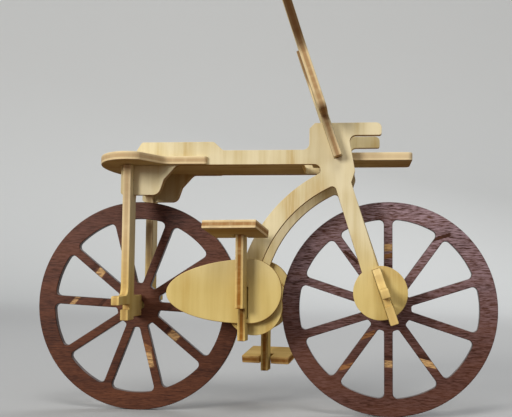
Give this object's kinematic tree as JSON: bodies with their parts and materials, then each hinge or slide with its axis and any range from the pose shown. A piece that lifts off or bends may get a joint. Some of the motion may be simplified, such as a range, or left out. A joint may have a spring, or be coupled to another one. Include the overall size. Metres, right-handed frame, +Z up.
{
  "type": "toy bicycle",
  "caption": "Small push-together plywood bicycle: flat frame plates, slotted cross pieces, and dark stained spoked wheels that turn freely.",
  "frame": {"origin": "middle of the wide rear part of the saddle's top face, in the bicycle's middle plane", "axes": "+X forward, +Z up, the drive side with the chain guard and the raised pedal towards -Y"},
  "size_m": [0.1758, 0.0976, 0.1513],
  "materials": {
    "birch_ply": "bare sanded plywood",
    "stained_ply": "red-brown stained plywood"
  },
  "bodies": {
    "bicycle": {"frame_drive_side": "birch_ply", "frame_far_side": "birch_ply", "saddle": "birch_ply", "front_fork": "birch_ply", "head_tongue": "birch_ply", "rear_fork": "birch_ply", "guard_drive_side": "birch_ply", "guard_far_side": "birch_ply", "crank": "birch_ply", "pedal_drive_side": "birch_ply", "pedal_far_side": "birch_ply"},
    "front_wheel": {"front_wheel": "stained_ply"},
    "rear_wheel": {"rear_wheel": "stained_ply"}
  },
  "joints": [
    {"name": "front_wheel_spin", "type": "hinge", "parent": "bicycle", "child": "front_wheel", "pos_m": [0.0932, 0, -0.0555], "axis": [0, 1, 0], "continuous": true},
    {"name": "rear_wheel_spin", "type": "hinge", "parent": "bicycle", "child": "rear_wheel", "pos_m": [-0.0026, 0, -0.0555], "axis": [0, 1, 0], "continuous": true}
  ]
}
